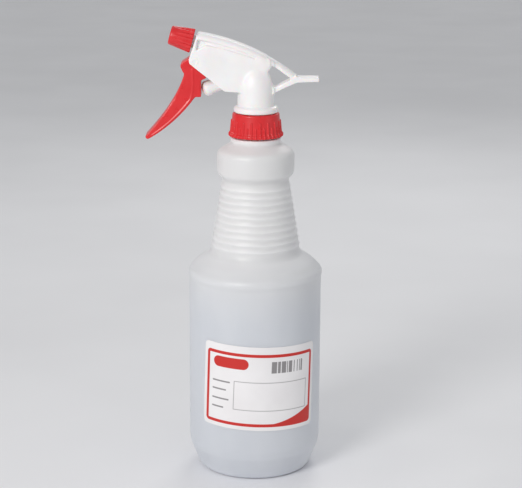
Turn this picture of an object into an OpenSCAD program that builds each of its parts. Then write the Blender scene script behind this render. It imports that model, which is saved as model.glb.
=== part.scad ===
// Trigger spray bottle: a threaded bottle with a pump head, a plunger and an adjustable nozzle.
// The origin is on the bottle's axis, on the surface that it stands on. The nozzle points to -X.

/* [Bottle] */
// Radius of the bottle's straight body
body_r = 42; // [40:0.5:44]
// Thickness of the bottle's wall
bottle_wall = 1.1; // [0.9:0.1:1.4]
// Number of grip ribs around the cone
cone_ribs = 10; // [6:1:10]
// How far a grip rib stands out from the cone
rib_height = 0.6; // [0.3:0.1:0.8]

/* [Label] */
// Length of the label around the body
label_length = 79; // [60:1:84]
// Height of the label
label_height = 55; // [40:1:58]
// Thickness of the label
label_thick = 0.3; // [0.2:0.05:0.4]

/* [Closure] */
// Rise of the neck thread in one turn
neck_pitch = 4.23; // [4:0.01:4.4]
// Number of long grip ribs on the nut, with a short one between each two
nut_ribs = 18; // [12:1:20]

/* [Pump] */
// Radius of the cylinder that the plunger runs in
cylinder_bore_r = 5; // [4.8:0.1:5.1]
// Radial running clearance of the plunger's seals
seal_gap = 0.05; // [0.03:0.01:0.08]
// Coils in the return spring
spring_coils = 9; // [7:1:10]

/* [Trigger] */
// Width of the trigger between the side plates
trigger_w = 11.4; // [10:0.2:11.6]
// Width of the finger grip
finger_w = 14; // [12:0.5:16]

/* [Nozzle] */
// Rise of the nozzle cap's thread in one turn
cap_pitch = 2.4; // [2.2:0.1:2.6]
// Number of grip grooves around the nozzle cap
cap_grooves = 16; // [12:1:20]

/* [Hidden] */
fine = 96;
small = 48;
cut = 0.5;

// Heights on the bottle
heel_z = 15;
panel_low_z = 20;
panel_high_z = 126;
bead_z = 129;
bead_r = body_r + 0.5;
cone_foot_z = 143;
cone_foot_r = 28;
waist_z = 189;
waist_r = 20.7;
bulb_r = 24.3;
bulb_low_z = 195;
bulb_high_z = 204.6;
neck_base_z = 212.6;
neck_base_r = 15.8;
neck_step_z = 215.6;
neck_top_z = 226.6;
neck_r = 12.5;
neck_thread_r = 13.6;
neck_bore_r = 10.5;
base_ring_r = 32.2;
push_up = 4;
rib_first_z = cone_foot_z + 4.5;
rib_pitch = (waist_z - rib_first_z) / cone_ribs;

// Place of the label: its lower edge, how far round from the front it is stuck, and its slight tilt
label_low_z = 35.5;
label_turn = 5.8;
label_tilt = 2.2;
label_corner_r = 3;
label_gap = 0.02;

// Closure nut and what it clamps
nut_low_z = 216.5;
nut_high_z = 231.3;
nut_lip = 1.5;
nut_band_h = 2.4;
nut_band_r = 16.6;
nut_foot_r = 15.7;
nut_top_r = 14.7;
nut_bore_r = 13.9;
nut_thread_r = 12.8;
nut_bar_w = 0.9;
long_bar_end_z = nut_high_z - 4.4;
short_bar_end_z = nut_high_z - 7.8;
gasket_h = 1.4;
gasket_r = 12.6;
gasket_bore_r = 9.4;
flange_z = neck_top_z + gasket_h;
flange_h = 1.6;
flange_r = 13.1;
plug_r = 10.2;
plug_top_z = 239;
thread_low_z = 219.9;

// Riser of the pump moulding, which the suction side and the passage to the barrel are cored into
riser_r = 5.6;
riser_top_z = 256.5;
moat_r = 9;
chamber_r = 2.7;
chamber_top_z = 246.5;
passage_x = -2.2;
passage_r = 1.5;
passage_low_z = 245;
vent_x = -8;
vent_r = 0.6;

// Sleeve and side plates of the shroud
sleeve_r = 11.6;
collar_r = 13.9;
collar_low_z = 231.5;
collar_high_z = 235.2;
plate_half = 7.5;
cavity_half = 6.2;
tail_half = 5;

// Nozzle barrel: its frame starts where the nozzle cap's rear face lies and looks out of the nozzle
barrel_x = -38.8;
barrel_z = 275.5;
barrel_tilt = 15;
barrel_r = 3.9;
barrel_bore_r = 2.4;
barrel_back = -41.2;
end_plug_r = 2.5;
end_plug_h = 1.8;
boss_r = 4.2;
boss_thread_r = 4.85;
cap_bore_r = 5.2;
cap_thread_r = 4.5;
cap_back = 0.6;
cap_front = 15.2;
cap_back_r = 7.6;
cap_front_r = 5.9;
cap_groove_r = 0.75;
thread_start = 2.4;
boss_back = -2.5;
boss_front = 9;
nose_r = 2.95;
nose_front = 12;
valve_seat = -14;
valve_r = 2.2;
valve_stem_r = 0.9;
valve_spring_length = 7.2;

// Plunger cylinder: its frame starts at the inner end and looks out at the trigger
piston_tilt = 21;
cylinder_x = -0.5;
cylinder_z = 257.65;
cylinder_r = 6.1;
cylinder_mouth = 21;
rod_r = 4.2;
rod_bore_r = 3.1;
rod_back = 10.5;
dome_r = 6;
dome_at = 29.4;
dome_rim_r = 4.7;
spring_seat = 1;
spring_end = 24.5;
seal_groove_h = 1.4;
seal_groove_depth = 0.5;
front_groove = rod_back + 6.5;
rear_groove = rod_back + 1;

// Trigger pivot
pivot_x = -37.9;
pivot_z = 263.6;
pin_r = 1.5;
pin_half = 7;
pad_x = -34.1;

// Inlet valve
holder_r = 4.38;
holder_flange_r = 5.3;
holder_flange_h = 1.2;
holder_bore_r = 1.4;
holder_low_z = 228;
holder_high_z = 241;
tube_r = 2.9;
tube_bore_r = 2.2;
tube_low_z = 8;
tube_high_z = 238;
ball_r = 2.2;
ball_z = 242.1;

// ---------- shared shapes ----------

// Points on an arc about c, from angle a to angle b
function arc(c, r, a, b, n = 8) =
    [for (i = [0:n]) c + r * [cos(a + (b - a) * i / n), sin(a + (b - a) * i / n)]];

// Points on a curve from a to c that is pulled towards b
function curve(a, b, c, n = 10) =
    [for (i = [0:n]) let (t = i / n) (1 - t) * (1 - t) * a + 2 * t * (1 - t) * b + t * t * c];

// A solid through a list of closed rings, each with the same number of points
module sweep(rings) {
    k = len(rings[0]);
    n = len(rings);
    sides = [
        for (i = [0:n - 2], j = [0:k - 1])
            let (a = i * k, b = a + k, m = (j + 1) % k)
            each [[a + j, a + m, b + m], [a + j, b + m, b + j]]
    ];
    first = [for (j = [k - 1:-1:0]) j];
    last = [for (j = [0:k - 1]) (n - 1) * k + j];
    polyhedron([for (r = rings) each r], concat([first], sides, [last]));
}

// A thread ridge: out = 1 stands out of a shaft, out = -1 stands into a bore
module thread_ridge(root_r, crest_r, pitch, turns, root_w, crest_w, steps = 20) {
    out = crest_r > root_r ? 1 : -1;
    low = [[root_r - 0.4 * out, -root_w / 2], [crest_r, -crest_w / 2]];
    high = [[crest_r, crest_w / 2], [root_r - 0.4 * out, root_w / 2]];
    section = concat(low, high);
    order = out > 0 ? [0, 1, 2, 3] : [3, 2, 1, 0];
    rings = [
        for (i = [0:turns * steps])
            let (a = 360 * i / steps)
            [for (k = order)
                [section[k][0] * cos(a), section[k][0] * sin(a), section[k][1] + pitch * a / 360]]
    ];
    sweep(rings);
}

// A round-wire spring of mean radius r, from z = 0 to z = length
module coil_spring(r, wire_r, length, coils, steps = 16) {
    rise = length - 2 * wire_r;
    rings = [
        for (i = [0:coils * steps])
            let (a = 360 * i / steps, z = wire_r + rise * i / (coils * steps))
            [for (k = [0:7])
                let (q = r + wire_r * cos(45 * k))
                [q * cos(a), q * sin(a), z + wire_r * sin(45 * k)]]
    ];
    sweep(rings);
}

// A tube about Z
module tube(outer_r, inner_r, low, high) {
    difference() {
        translate([0, 0, low]) cylinder(h = high - low, r = outer_r, $fn = small);
        translate([0, 0, low - cut]) cylinder(h = high - low + 2 * cut, r = inner_r, $fn = small);
    }
}

// A plain rod about Z
module rod(r, low, high) {
    translate([0, 0, low]) cylinder(h = high - low, r = r, $fn = small);
}

// An outline in the XZ plane, given thickness both ways along Y
module slab(half) {
    rotate([90, 0, 0]) linear_extrude(height = 2 * half, center = true) children();
}

// Rounds the corners of an outline
module soften(r) {
    offset(r = r, $fn = 24) offset(delta = -2 * r) offset(delta = r) children();
}

module in_barrel() {
    translate([barrel_x, 0, barrel_z]) rotate([0, barrel_tilt - 90, 0]) children();
}

module in_cylinder() {
    translate([cylinder_x, 0, cylinder_z]) rotate([0, -piston_tilt - 90, 0]) children();
}

// ---------- bottle ----------

// The bottle without its ribs, from the base up to the foot of the neck, moved inwards by t
function bottle_outline(t) = concat(
    [[0, push_up + t], [base_ring_r - 8, push_up - 1 + t], [base_ring_r - 2, t]],
    arc([base_ring_r, 4.6], 4.6 - t, -90, -30, 5),
    [[body_r - 0.8 - t, heel_z], [body_r - t, panel_low_z]],
    [[body_r - t, panel_high_z], [bead_r - t, bead_z - 0.8]],
    arc([bead_r - 9.2, bead_z + 0.2], 9.2 - t, 5, 38, 5),
    [[37.4 - t, bead_z + 8 - t / 2], [33 - t, bead_z + 10.4 - t], [29.6 - t, cone_foot_z - 1.6 - t]],
    [[cone_foot_r + 0.4 - t, cone_foot_z], [cone_foot_r - t, cone_foot_z + 1.4]],
    [[waist_r + 0.2 - t, waist_z - 0.8], [waist_r - t, waist_z]],
    arc([bulb_r - 4.4, bulb_low_z], 4.4 - t, -60, 0, 6),
    arc([bulb_r - 4.2, bulb_high_z], 4.2 - t, 0, 50, 6),
    [[neck_base_r + 0.6 - t, neck_base_z - 1 - t], [neck_base_r - t, neck_base_z]]
);

// One grip rib, which follows the cone's slope
module cone_rib(z) {
    slope = (cone_foot_r - waist_r) / (waist_z - cone_foot_z);
    r = cone_foot_r - (z - cone_foot_z) * slope;
    polygon([
        [r - cut, z - 1.1],
        [r + 0.1, z - 1.1],
        [r + rib_height, z - 0.3],
        [r + rib_height, z + 0.3],
        [r - 0.1, z + 1.1],
        [r - cut, z + 1.1]
    ]);
}

module bottle() {
    color([0.8, 0.81, 0.83]) {
        rotate_extrude($fn = fine) difference() {
            union() {
                polygon(concat(
                    bottle_outline(0),
                    [[neck_base_r, neck_step_z], [neck_r, neck_step_z]],
                    [[neck_r, neck_top_z], [0, neck_top_z]]
                ));
                for (i = [0:cone_ribs - 1])
                    cone_rib(rib_first_z + i * rib_pitch);
            }
            polygon(concat(
                bottle_outline(bottle_wall),
                [[neck_bore_r, neck_step_z - bottle_wall], [neck_bore_r, neck_top_z + cut]],
                [[0, neck_top_z + cut]]
            ));
        }
        translate([0, 0, thread_low_z])
            thread_ridge(neck_r, neck_thread_r, neck_pitch, 1.25, 2.6, 1.4);
    }
}

module front_label() {
    half_angle = label_length / body_r * 90 / PI;
    flat_w = 2 * body_r * sin(half_angle);
    corners = 2 * label_corner_r;
    color([0.95, 0.92, 0.92]) rotate([0, 0, label_turn]) intersection() {
        rotate_extrude($fn = fine)
            translate([body_r + label_gap, label_low_z - 5])
                square([label_thick - label_gap, label_height + 10]);
        translate([0, -body_r / 2 - 5, label_low_z + label_height / 2]) rotate([90, 0, 0])
            linear_extrude(height = body_r + 12, center = true)
                rotate(-label_tilt) offset(r = label_corner_r, $fn = 24)
                    square([flat_w - corners, label_height - corners], center = true);
    }
}

// ---------- closure ----------

// A raised bar up the outside of the nut, leaning with its tapered wall
module nut_bar(top_z) {
    rise = top_z - nut_low_z;
    taper = (nut_foot_r - nut_top_r) / (nut_high_z - nut_low_z);
    lean = atan(taper);
    translate([nut_foot_r, 0, nut_low_z]) rotate([0, -lean, 0])
        translate([-0.5, -nut_bar_w / 2, 0.4]) cube([1.05, nut_bar_w, rise]);
}

module closure_nut() {
    color([0.82, 0.16, 0.18]) {
        difference() {
            union() {
                rotate_extrude($fn = fine) polygon([
                    [0, nut_low_z],
                    [nut_band_r - 0.4, nut_low_z],
                    [nut_band_r, nut_low_z + 0.5],
                    [nut_band_r, nut_low_z + nut_band_h - 0.5],
                    [nut_foot_r + 0.1, nut_low_z + nut_band_h],
                    [nut_top_r, nut_high_z - 1.2],
                    [nut_top_r - 1, nut_high_z],
                    [0, nut_high_z]
                ]);
                for (i = [0:nut_ribs - 1]) {
                    rotate([0, 0, 360 * i / nut_ribs]) nut_bar(long_bar_end_z);
                    rotate([0, 0, 360 * (i + 0.5) / nut_ribs]) nut_bar(short_bar_end_z);
                }
            }
            rod(nut_bore_r, nut_low_z - cut, neck_top_z - 0.1);
            rod(flange_r + 0.15, neck_top_z - cut, nut_high_z - nut_lip);
            rod(plug_r + 0.3, nut_low_z, nut_high_z + cut);
        }
        translate([0, 0, thread_low_z - neck_pitch / 2])
            thread_ridge(nut_bore_r, nut_thread_r, neck_pitch, 1.2, 2.3, 1.3);
    }
}

module gasket() {
    color([0.9, 0.9, 0.88]) tube(gasket_r, gasket_bore_r, neck_top_z, flange_z);
}

// ---------- pump ----------

module pump_body() {
    color([0.94, 0.93, 0.92]) difference() {
        union() {
            rod(flange_r, flange_z, flange_z + flange_h);
            rod(plug_r, flange_z, plug_top_z);
            rod(riser_r, flange_z, riser_top_z);
            in_cylinder() rod(cylinder_r, -2, cylinder_mouth);
            in_barrel() {
                rod(barrel_r, barrel_back, boss_front);
                rod(boss_r, boss_back, boss_front);
                rod(nose_r, boss_front - 1, nose_front);
                translate([0, 0, thread_start]) thread_ridge(boss_r, boss_thread_r, cap_pitch, 2, 1.5, 0.8);
            }
            translate([-5, -2, cylinder_z]) cube([4.4, 4, 6.5]);
        }
        tube(moat_r, riser_r, flange_z - cut, plug_top_z - 1.5);
        rod(holder_r + 0.02, flange_z - cut, holder_high_z);
        rod(chamber_r, holder_high_z - cut, chamber_top_z);
        translate([passage_x, 0, 0]) rod(passage_r, passage_low_z, barrel_z - 10.3);
        in_cylinder() rod(cylinder_bore_r, 0.8, cylinder_mouth + cut);
        in_barrel() {
            rod(passage_r, barrel_back + 2, valve_seat + 1);
            rod(end_plug_r, barrel_back - cut, barrel_back + end_plug_h);
            rod(barrel_bore_r, valve_seat, nose_front + cut);
        }
        translate([vent_x, 0, 0]) rod(vent_r, plug_top_z - 2, 252);
    }
}

// The revolved sleeve that runs up into the flat side plates
module sleeve_form(collar, r, shoulder_r) {
    rotate_extrude($fn = fine) polygon(concat(
        [[0, collar_low_z], [collar - 0.5, collar_low_z], [collar, collar_low_z + 0.6]],
        [[collar, collar_high_z - 0.8], [collar - 1, collar_high_z], [r, collar_high_z + 0.3]],
        curve([r, 246.5], [r, 254], [shoulder_r, 260], 6),
        [[0, 260]]
    ));
}

module shroud_outline() {
    soften(0.8) polygon(concat(
        curve([-36.2, 281.3], [-2.2, 275.8], [24.5, 255.4], 14),
        [[26, 253.9], [39.1, 253.9], [39.1, 251.2], [26, 250.7]],
        curve([24.5, 250.2], [15, 246.2], [9.4, 242.8], 5),
        [[-19.4, 245.2], [-41.2, 262.4], [-41.6, 264.7]]
    ));
}

// The opening through the tail
module tail_window() {
    soften(1) polygon([[10, 261.2], [7.2, 257.4], [10.9, 247.2], [22.2, 252.8]]);
}

// The hollow between the side plates, open below and at the front under the barrel
module plate_hollow() {
    polygon([
        [-44, 240], [-44, 266.8], [-38.6, 268.6], [-36, 269.5], [2, 261.5],
        [4.6, 260], [4.6, 246.5], [-11.9, 246.2], [-11.9, 240]
    ]);
}

// The sunken strip under the spine
module side_recess() {
    soften(0.4) polygon(concat(
        curve([-36.2, 277.4], [-15, 273.6], [1.2, 266], 8),
        curve([-1.2, 265.8], [-14, 270.4], [-29.6, 273.6], 6),
        curve([-31.5, 273.6], [-34.5, 272.4], [-37.2, 270.2], 4)
    ));
}

module shroud() {
    color([0.95, 0.94, 0.93]) difference() {
        union() {
            intersection() {
                slab(plate_half) shroud_outline();
                translate([-50, -20, 230]) cube([59, 40, 60]);
            }
            intersection() {
                slab((plate_half + tail_half) / 2) shroud_outline();
                translate([5, -20, 230]) cube([6.5, 40, 60]);
            }
            intersection() {
                slab(tail_half) shroud_outline();
                translate([5, -20, 230]) cube([40, 40, 60]);
            }
            sleeve_form(collar_r, sleeve_r, plate_half - 0.6);
        }
        slab(20) tail_window();
        slab(cavity_half) plate_hollow();
        rod(plug_r + 0.05, collar_low_z - cut, 246);
        translate([0, 0, 245.9]) cylinder(h = 11, r1 = plug_r + 0.05, r2 = cavity_half, $fn = small);
        in_barrel() {
            rod(barrel_r + 0.05, barrel_back, 4);
            rod(boss_r + 0.05, boss_back - 8, 4);
        }
        in_cylinder() rod(cylinder_r + 0.05, -2, 6);
        for (side = [-1, 1])
            translate([0, side * (plate_half + 8.6), 0]) slab(10) side_recess();
        for (side = [-1, 1]) {
            translate([pivot_x, side * (pin_half - 1), pivot_z]) rotate([90, 0, 0])
                cylinder(h = 2, r = pin_r, center = true, $fn = small);
        }
    }
}

module barrel_plug() {
    color([0.9, 0.9, 0.9]) in_barrel() rod(end_plug_r, barrel_back, barrel_back + end_plug_h);
}

module tube_holder() {
    color([0.92, 0.92, 0.92]) difference() {
        union() {
            rod(holder_r, holder_low_z, holder_high_z);
            rod(holder_flange_r, holder_low_z - holder_flange_h, holder_low_z);
        }
        rod(tube_r, holder_low_z - 2, tube_high_z);
        rod(holder_bore_r, holder_low_z, holder_high_z + cut);
        translate([0, 0, ball_z]) sphere(r = ball_r, $fn = small);
    }
}

module dip_tube() {
    color([0.9, 0.91, 0.92]) difference() {
        tube(tube_r, tube_bore_r, tube_low_z, tube_high_z);
        translate([0, 0, tube_low_z - 3]) rotate([0, 25, 0]) cube([20, 12, 6], center = true);
    }
}

module inlet_ball() {
    color([0.7, 0.7, 0.72]) translate([0, 0, ball_z]) sphere(r = ball_r, $fn = small);
}

// ---------- plunger ----------

module piston() {
    rim_at = dome_at + sqrt(dome_r * dome_r - dome_rim_r * dome_rim_r);
    color([0.95, 0.94, 0.93]) in_cylinder() difference() {
        rotate_extrude($fn = small) polygon(concat(
            [[0, rod_back], [rod_r, rod_back], [rod_r, rim_at - 6], [dome_rim_r, rim_at - 2]],
            arc([0, dome_at], dome_r, asin((rim_at - dome_at) / dome_r), 90, 8)
        ));
        rod(rod_bore_r, rod_back - cut, spring_end);
        for (low = [rear_groove, front_groove])
            tube(rod_r + 1, rod_r - seal_groove_depth, low, low + seal_groove_h);
    }
}

// A lip ring in a groove of the plunger
module lip_ring(low) {
    lip_r = cylinder_bore_r - seal_gap;
    in_cylinder() difference() {
        union() {
            rod(rod_r + 0.2, low, low + seal_groove_h);
            rod(lip_r, low + 0.4, low + 1);
        }
        rod(rod_r - seal_groove_depth, low - cut, low + seal_groove_h + cut);
    }
}

module piston_seal() {
    color([0.25, 0.25, 0.27]) lip_ring(rear_groove);
}

module vent_seal() {
    color([0.25, 0.25, 0.27]) lip_ring(front_groove);
}

module return_spring() {
    color([0.72, 0.73, 0.75]) in_cylinder() translate([0, 0, spring_seat])
        coil_spring(2.5, 0.35, spring_end - spring_seat - 0.1, spring_coils);
}

// ---------- trigger ----------

module trigger_outline() {
    soften(0.5) union() {
        hull() {
            translate([pivot_x, pivot_z]) circle(r = 3.7, $fn = 32);
            translate([-43.7, 260.7]) circle(r = 3.1, $fn = 32);
        }
        polygon(concat(
            [[-41, 264.6], [-46, 258], [-44.6, 256]],
            curve([-44.8, 254.6], [-50.2, 237.2], [-68.9, 216.8], 12),
            [[-68.4, 215.4], [-67.4, 215]],
            curve([-65.8, 215.7], [-50.2, 225], [-38.8, 240], 10),
            [[-37.6, 241.4], [pad_x, 241.4], [pad_x, 251.8], [-30.8, 253.3], [-33.6, 262.5]]
        ));
    }
}

// The part of the trigger that the fingers pull
module finger_outline() {
    intersection() {
        trigger_outline();
        translate([-75, 205]) square([40, 34]);
    }
}

// The moulded channel in the back of the finger grip
module finger_channel() {
    intersection() {
        translate([2.6, 0.2]) trigger_outline();
        translate([-62, 205]) square([21, 32]);
    }
}

module trigger() {
    color([0.84, 0.18, 0.2]) difference() {
        union() {
            slab(trigger_w / 2) trigger_outline();
            slab(finger_w / 2) finger_outline();
        }
        slab(finger_w / 2 - 2) finger_channel();
        translate([pivot_x, 0, pivot_z]) rotate([90, 0, 0])
            cylinder(h = 30, r = pin_r + 0.05, center = true, $fn = small);
    }
}

module pivot_pin() {
    color([0.8, 0.8, 0.82]) translate([pivot_x, 0, pivot_z]) rotate([90, 0, 0])
        cylinder(h = 2 * pin_half, r = pin_r, center = true, $fn = small);
}

// ---------- nozzle ----------

module discharge_valve() {
    color([0.3, 0.3, 0.32]) in_barrel() {
        translate([0, 0, valve_seat]) cylinder(h = 1.6, r1 = valve_r - 0.5, r2 = valve_r, $fn = small);
        rod(valve_r, valve_seat + 1.6, valve_seat + 2.6);
        rod(valve_stem_r, valve_seat + 2.6, valve_seat + 6);
    }
}

module valve_spring() {
    color([0.72, 0.73, 0.75]) in_barrel() translate([0, 0, valve_seat + 2.7])
        coil_spring(1.7, 0.25, valve_spring_length, 5);
}

module swirl_insert() {
    back = valve_seat + 10;
    color([0.9, 0.9, 0.9]) in_barrel() difference() {
        union() {
            rod(barrel_bore_r - 0.02, back, back + 2);
            rod(1.8, back, nose_front - 1.4);
            rod(barrel_bore_r - 0.02, nose_front - 1.4, nose_front + 0.2);
        }
        for (turn = [0:90:270])
            rotate([0, 0, turn]) translate([1.2, -0.4, back - 1]) cube([2, 0.8, 20]);
        rod(0.9, nose_front - 0.4, nose_front + 1);
    }
}

module nozzle_seal() {
    color([0.25, 0.25, 0.27]) in_barrel() tube(3.75, nose_r + 0.05, 10.6, 11.8);
}

module nozzle_cap() {
    back = cap_back;
    front = cap_front;
    back_r = cap_back_r;
    front_r = cap_front_r;
    color([0.84, 0.18, 0.2]) in_barrel() difference() {
        rotate_extrude($fn = fine) polygon(concat(
            [[0, back], [back_r - 0.3, back], [back_r, back + 0.4]],
            arc([front_r - 1, front - 1.1], 1, 10, 90, 5),
            [[front_r - 2, front - 0.1], [1.4, front - 1.2], [0, front - 1.2]]
        ));
        difference() {
            rod(cap_bore_r, back - cut, 9.8);
            translate([0, 0, thread_start - cap_pitch / 2])
                thread_ridge(cap_bore_r, cap_thread_r, cap_pitch, 2, 1.4, 0.7);
        }
        rod(3.8, 9.5, 12.9);
        rod(0.45, 12, 16);
        lean = atan((back_r - front_r) / (front - back));
        for (i = [0:cap_grooves - 1])
            rotate([0, 0, 360 * i / cap_grooves]) translate([back_r + 0.25, 0, back - 1])
                rotate([0, -lean, 0]) cylinder(h = 11.6, r = cap_groove_r, $fn = 16);
    }
}

bottle();
front_label();
closure_nut();
gasket();
pump_body();
shroud();
dip_tube();
tube_holder();
inlet_ball();
piston();
piston_seal();
vent_seal();
return_spring();
trigger();
pivot_pin();
discharge_valve();
valve_spring();
swirl_insert();
nozzle_seal();
nozzle_cap();
barrel_plug();
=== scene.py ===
# %% [markdown]
# # A trigger spray bottle
# This lesson dresses a working spray bottle: a blow-moulded bottle with a ribbed grip, a paper
# label, a screw-down nut, and a pump head with a finger trigger, a plunger and a turning nozzle.
# The working frame comes first. It already has every piece at its true size and place, and it
# moves the pieces when the trigger is pulled. Here each visible piece gets a finer skin and a
# finish.

# %% Load the working frame
import math

import bmesh
import bpy
import numpy as np
from mathutils import Matrix, Vector


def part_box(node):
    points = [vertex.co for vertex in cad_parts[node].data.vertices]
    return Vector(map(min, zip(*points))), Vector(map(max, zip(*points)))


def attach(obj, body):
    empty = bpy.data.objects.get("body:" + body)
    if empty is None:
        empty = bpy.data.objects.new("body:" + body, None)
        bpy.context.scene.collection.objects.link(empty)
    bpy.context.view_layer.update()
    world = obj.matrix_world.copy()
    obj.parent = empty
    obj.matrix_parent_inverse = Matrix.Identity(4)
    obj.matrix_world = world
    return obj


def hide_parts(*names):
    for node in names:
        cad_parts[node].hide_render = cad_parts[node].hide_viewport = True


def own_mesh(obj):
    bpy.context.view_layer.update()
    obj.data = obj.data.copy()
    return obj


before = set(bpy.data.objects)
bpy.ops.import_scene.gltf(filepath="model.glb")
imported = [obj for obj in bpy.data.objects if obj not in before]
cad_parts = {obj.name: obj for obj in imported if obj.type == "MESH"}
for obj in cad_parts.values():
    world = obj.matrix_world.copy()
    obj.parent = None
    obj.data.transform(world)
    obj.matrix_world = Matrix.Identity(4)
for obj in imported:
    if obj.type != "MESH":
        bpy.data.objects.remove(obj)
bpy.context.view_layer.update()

MM = 0.001

# %% [markdown]
# ## The camera
# A bottle stood on a table is looked at from a little above. A long lens, far away, keeps its
# sides nearly parallel, as a catalogue picture does. The camera could be aimed with a constraint,
# but plain angles are easier to repeat: it looks along +Y, tipped down, with a trace of roll.

# %% Place the camera
CAMERA_AT = (0.0036, -1.0523, 0.4184)
DOWN_TILT = 14.5
ROLL = 0.32


def add_to_scene(obj):
    bpy.context.scene.collection.objects.link(obj)
    return obj


lens = bpy.data.cameras.new("long lens")
lens.lens = 117.7
lens.sensor_width = 36
lens.clip_start, lens.clip_end = 0.05, 100
camera = add_to_scene(bpy.data.objects.new("camera", lens))
tipped = Matrix.Rotation(math.radians(90 - DOWN_TILT), 4, "X")
rolled = Matrix.Rotation(math.radians(ROLL), 4, "Z")
camera.matrix_world = Matrix.Translation(CAMERA_AT) @ tipped @ rolled
bpy.context.scene.camera = camera
print("camera stands", round(camera.location.length, 2), "m from the foot of the bottle")

# %% [markdown]
# ## Table and light
# White and milky plastics show their shape only through soft shading, so the light is one broad
# lamp at the front left, a weaker one at the right and one behind for the edges. A pale table
# bounces the rest. Hard lamps would burn out the white shroud and hide its steps.

# %% Make the table
bpy.context.scene.view_settings.view_transform = "Standard"


def disc_points(radius, rings, steps):
    """Points of a flat disc in rings, the first ring being the centre."""
    angles = np.arange(steps) * math.tau / steps
    radii = [radius * (ring / rings) ** 2 for ring in range(rings + 1)]
    return [[(r * math.cos(a), r * math.sin(a), 0) for a in angles] for r in radii]


def skin_rows(name, rows, closed_rows=True):
    """A mesh over rows of points. Points that meet are merged, so a row may close to one point."""
    count, steps = len(rows), len(rows[0])
    points = [p for row in rows for p in row]
    faces = []
    for i in range(count - 1):
        for j in range(steps if closed_rows else steps - 1):
            k = (j + 1) % steps
            faces.append((i * steps + j, i * steps + k, (i + 1) * steps + k, (i + 1) * steps + j))
    mesh = bpy.data.meshes.new(name)
    mesh.from_pydata(points, [], faces)
    return tidy(add_to_scene(bpy.data.objects.new(name, mesh)))


def tidy(obj, sharp=38):
    """Merges points that meet, turns faces outwards and shades them smooth up to a sharp corner."""
    shape = bmesh.new()
    shape.from_mesh(obj.data)
    bmesh.ops.remove_doubles(shape, verts=shape.verts, dist=1e-6)
    bmesh.ops.recalc_face_normals(shape, faces=shape.faces)
    shape.to_mesh(obj.data)
    shape.free()
    obj.data.shade_smooth()
    obj.data.set_sharp_from_angle(angle=math.radians(sharp))
    return obj


table = skin_rows("table", disc_points(30, 40, 96))
print("table faces:", len(table.data.polygons))

# %% Hang the lamps
def lamp(name, place, target, size, power, colour=(1, 1, 1)):
    data = bpy.data.lights.new(name, "AREA")
    data.shape, data.size, data.energy, data.color = "DISK", size, power, colour
    obj = add_to_scene(bpy.data.objects.new(name, data))
    facing = (Vector(target) - Vector(place)).to_track_quat("-Z", "Y")
    obj.matrix_world = Matrix.Translation(place) @ facing.to_matrix().to_4x4()
    return obj


middle = (0, 0, 0.16)
lamp("soft window", (-0.55, -0.85, 0.62), middle, 0.42, 5.9, (1, 0.985, 0.975))
lamp("right fill", (0.95, -0.5, 0.4), middle, 0.6, 0.5, (0.95, 0.97, 1))
lamp("back edge", (0.2, 0.9, 0.8), middle, 0.5, 2.2)
world = bpy.data.worlds.new("pale room")
bpy.context.scene.world = world
world.use_nodes = True
world.node_tree.nodes["Background"].inputs["Color"].default_value = (0.93, 0.94, 0.96, 1)
world.node_tree.nodes["Background"].inputs["Strength"].default_value = 0.55

# %% [markdown]
# ## Finishes
# Every plastic here has its own skin: the bottle is milky and lets light sink in, the red and
# white mouldings are smooth with a faint orange-peel, and the label is matt film. A painted
# picture could give each one, but noise made by nodes has no seams and no size limit. So one
# helper makes a shader with its plain values on the shader itself, and three small helpers add
# drift of colour, of gloss and of surface, each at its own scale.

# %% Start a finish
def finish(name, colour, gloss_roughness, **sockets):
    """A material whose plain values sit on its own shader."""
    made = bpy.data.materials.new(name)
    made.use_nodes = True
    shader = made.node_tree.nodes["Principled BSDF"]
    shader.inputs["Base Color"].default_value = (*colour, 1)
    shader.inputs["Roughness"].default_value = gloss_roughness
    for socket, value in sockets.items():
        shader.inputs[socket.replace("_", " ")].default_value = value
    return made


def noise(made, size_mm, detail=3, stretch=(1, 1, 1)):
    """A noise that follows the piece itself, with lumps about size_mm across."""
    tree = made.node_tree
    place = tree.nodes.new("ShaderNodeTexCoord")
    scale = tree.nodes.new("ShaderNodeMapping")
    scale.inputs["Scale"].default_value = stretch
    lumps = tree.nodes.new("ShaderNodeTexNoise")
    lumps.inputs["Scale"].default_value = 1 / (size_mm * MM)
    lumps.inputs["Detail"].default_value = detail
    tree.links.new(place.outputs["Object"], scale.inputs["Vector"])
    tree.links.new(scale.outputs["Vector"], lumps.inputs["Vector"])
    return lumps.outputs["Fac"]


# %% Let colour, gloss and surface drift
def drift_colour(made, dark, light, size_mm, stretch=(1, 1, 1)):
    tree = made.node_tree
    ramp = tree.nodes.new("ShaderNodeValToRGB")
    ramp.color_ramp.elements[0].position, ramp.color_ramp.elements[1].position = 0.3, 0.7
    ramp.color_ramp.elements[0].color, ramp.color_ramp.elements[1].color = (*dark, 1), (*light, 1)
    tree.links.new(noise(made, size_mm, 2, stretch), ramp.inputs["Fac"])
    tree.links.new(ramp.outputs["Color"], tree.nodes["Principled BSDF"].inputs["Base Color"])
    return made


def drift_gloss(made, low, high, size_mm, stretch=(1, 1, 1)):
    tree = made.node_tree
    spread = tree.nodes.new("ShaderNodeMapRange")
    spread.inputs["From Min"].default_value, spread.inputs["From Max"].default_value = 0.3, 0.7
    spread.inputs["To Min"].default_value, spread.inputs["To Max"].default_value = low, high
    tree.links.new(noise(made, size_mm, 4, stretch), spread.inputs["Value"])
    tree.links.new(spread.outputs["Result"], tree.nodes["Principled BSDF"].inputs["Roughness"])
    return made


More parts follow.
